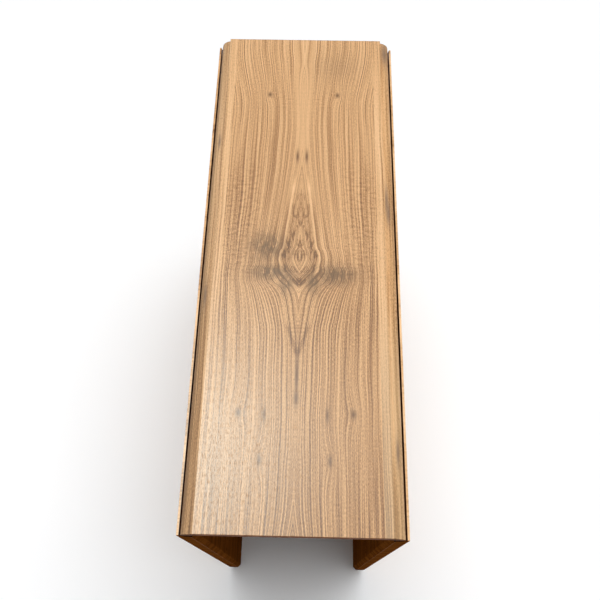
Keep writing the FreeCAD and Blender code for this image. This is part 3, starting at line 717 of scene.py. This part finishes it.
# places and ways are n rows of x, y, z; each head is turned by its number times turnStep.
def addScrews(name, body, material, places, ways):
    above, below = screwHead()
    columns, rows = above.shape[:2]
    local = np.concatenate([above.reshape(-1, 3), below.reshape(-1, 3)])
    ways = np.array(ways, float)
    first = np.cross(ways, np.array([0.0, 1.0, 0.0]))
    second = np.cross(ways, first)
    angle = (np.arange(len(ways)) * screwLook["turnStep"])[:, None]
    across = first * np.cos(angle) + second * np.sin(angle)
    upward = np.cross(ways, across)
    axes = np.stack([across, upward, ways], 1)  # rows: the head's own x, y and z
    points = (np.array(places, float)[:, None] + np.einsum("pk,nkd->npd", local, axes)) / 1000.0
    corner = (np.arange(columns - 1)[:, None] * rows + np.arange(rows - 1)[None, :]).reshape(-1, 1)
    top = corner + np.array([0, rows, rows + 1, 1])
    bottom = corner + columns * rows + np.array([0, 1, rows + 1, rows])
    faces = np.concatenate([top, bottom])[None] + (np.arange(len(ways)) * len(local))[:, None, None]
    mesh = bpy.data.meshes.new(name)
    mesh.from_pydata(points.reshape(-1, 3).tolist(), [], faces.reshape(-1, 4).tolist())
    shape = bmesh.new()
    shape.from_mesh(mesh)
    bmesh.ops.remove_doubles(shape, verts=shape.verts, dist=1e-6)
    bmesh.ops.dissolve_degenerate(shape, edges=shape.edges, dist=1e-7)
    bmesh.ops.recalc_face_normals(shape, faces=shape.faces)
    shape.to_mesh(mesh)
    shape.free()
    mesh.materials.append(material)
    piece = bpy.data.objects.new(name, mesh)
    bpy.context.collection.objects.link(piece)
    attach(piece, body)
    return piece


def makeScrews():
    at = screwPlaces
    brass = makeMetal("screwBrass", linear(196, 160, 96), 1.0, 0.34, (1.2, 1.2, 1.2), 12.0)
    black = makeMetal("screwBlack", linear(56, 55, 54), 0.6, 0.42, (1.2, 1.2, 1.2), 14.0)
    down = (0, 0, -1)
    sides = (-1, 1)  # left and right, or front and back
    middles = at["hingeMiddles"]
    plates = [(s * x, m + y, at["topPlateFace"]) for s in sides for m in middles for x, y in at["topPlate"]]
    clips = [(s, e * y) for s in sides for e in sides for y in at["clip"]]
    flatX, flatZ = at["clipFlat"]
    railX, railZ = at["clipRail"]
    flats = [(s * flatX, y, flatZ) for s, y in clips]
    rails = [(s * railX, y, railZ) for s, y in clips]
    ways = [down] * len(plates + flats) + [(-s, 0, 0) for s, y in clips]
    made = [addScrews("topHingeScrews", "frame", brass, plates + flats + rails, ways)]
    brackets = [(s * x, e * at["bracketMiddle"]) for s in sides for e in sides for x in at["bracket"]]
    under = [(x, y, at["bracketFace"]) for x, y in brackets]
    made.append(addScrews("bracketScrews", "frame", black, under, [down] * len(under)))
    for word, s in zip(("left", "right"), sides):
        leaf = [(s * at["leafPlateFace"], m + y, z) for m in middles for z, y in at["leafPlate"]]
        arms = [(s * at["armFace"], e * at["armMiddle"] + y, z) for e in sides for z, y in at["arm"]]
        body, inward = word + "_leaf", (-s, 0, 0)
        made.append(addScrews(word + "LeafScrews", body, brass, leaf, [inward] * len(leaf)))
        made.append(addScrews(word + "ArmScrews", body, black, arms, [inward] * len(arms)))
    print("screws:", sum(len(piece.data.polygons) for piece in made), "faces in", len(made), "pieces")


makeScrews()


# Floor: a wide white plane. The camera sees it as full white paper.
floorLook = {"size": 40.0, "colour": (0.8, 0.8, 0.8), "seenColour": (0.97, 0.985, 1.0)}
seenRays = ("Camera", "Glossy", "Transmission")  # rays that see the white background


def makeFloor():
    half = floorLook["size"] / 2
    corners = [(-half, -half, 0), (half, -half, 0), (half, half, 0), (-half, half, 0)]
    mesh = bpy.data.meshes.new("floor")
    mesh.from_pydata(corners, [], [(0, 1, 2, 3)])
    floor = bpy.data.objects.new("floor", mesh)
    bpy.context.collection.objects.link(floor)
    graph = newMaterial("floorPaper", Roughness=1.0, Specular_IOR_Level=0.0)
    seen = graph.ray(seenRays)
    graph.feed("Base Color", graph.mix(seen, floorLook["colour"], floorLook["seenColour"]))
    mesh.materials.append(graph.owner)
    print("floor laid")


# Light: a dim white room, a broad soft sky from above, far and right, and a panel whose reflection
# lies on the near left of the top. Angles in degrees, places in metres, power in watts.
skyLook = {"from": (0.1, 0.25, 1.0), "spread": 58.0, "strength": 3.2}
panelLook = {"place": (-0.53, 0.06, 2.5), "aim": (-0.1, -0.2, 0.7), "size": 0.66, "power": 41.0,
             "colour": (0.84, 0.98, 0.93)}
roomLook = {"colour": (1.0, 1.0, 1.0), "strength": 0.05}


def addLamp(name, kind, place, aim):
    data = bpy.data.lights.new(name, kind)
    lamp = bpy.data.objects.new(name, data)
    lamp.location = place
    lamp.rotation_euler = (Vector(aim) - Vector(place)).to_track_quat("-Z", "Y").to_euler()
    bpy.context.collection.objects.link(lamp)
    return lamp


def makeLights():
    world = bpy.data.worlds.new("softRoom")
    bpy.context.scene.world = world
    graph = Graph(world, "Background", Color=(*roomLook["colour"], 1.0))
    level = {"Value": graph.ray(seenRays), "To Min": roomLook["strength"], "To Max": 1.0}
    graph.feed("Strength", graph.node("ShaderNodeMapRange", {}, level))
    sky = addLamp("softSky", "SUN", skyLook["from"], (0, 0, 0))
    sky.data.angle = math.radians(skyLook["spread"])
    sky.data.energy = skyLook["strength"]
    sky.visible_glossy = False  # the sheen comes from the panel alone
    panel = addLamp("sheenPanel", "AREA", panelLook["place"], panelLook["aim"])
    panel.data.size = panelLook["size"]
    panel.data.energy = panelLook["power"]
    panel.data.color = panelLook["colour"]
    panel.visible_diffuse = False  # and the panel gives nothing else
    print("lights set")


# Camera: over the near end, looking down along the top. Angles in degrees, place in metres, lens in mm.
camera = {"place": (0.0133, -0.4747, 1.6229), "pitch": 65.98, "yaw": -1.65, "roll": -0.40, "lens": 41.59,
          "sensor": 36.0}


def makeCamera():
    pitch, yaw, roll = [math.radians(camera[key]) for key in ("pitch", "yaw", "roll")]
    level = Matrix(((1, 0, 0), (0, 0, -1), (0, 1, 0)))  # looking along +Y, image down is -Z
    turn = Matrix.Rotation(roll, 3, "Z") @ Matrix.Rotation(pitch, 3, "X")
    turn = turn @ level @ Matrix.Rotation(yaw, 3, "Z")
    axes = Matrix((turn[0], -turn[1], -turn[2])).transposed().to_4x4()
    data = bpy.data.cameras.new("photoCamera")
    data.sensor_width = camera["sensor"]
    data.lens = camera["lens"]
    eye = bpy.data.objects.new("photoCamera", data)
    eye.matrix_world = Matrix.Translation(camera["place"]) @ axes
    bpy.context.collection.objects.link(eye)
    bpy.context.scene.camera = eye
    print("camera set")


makeFloor()
makeLights()
makeCamera()
bpy.context.scene.view_settings.view_transform = "Standard"
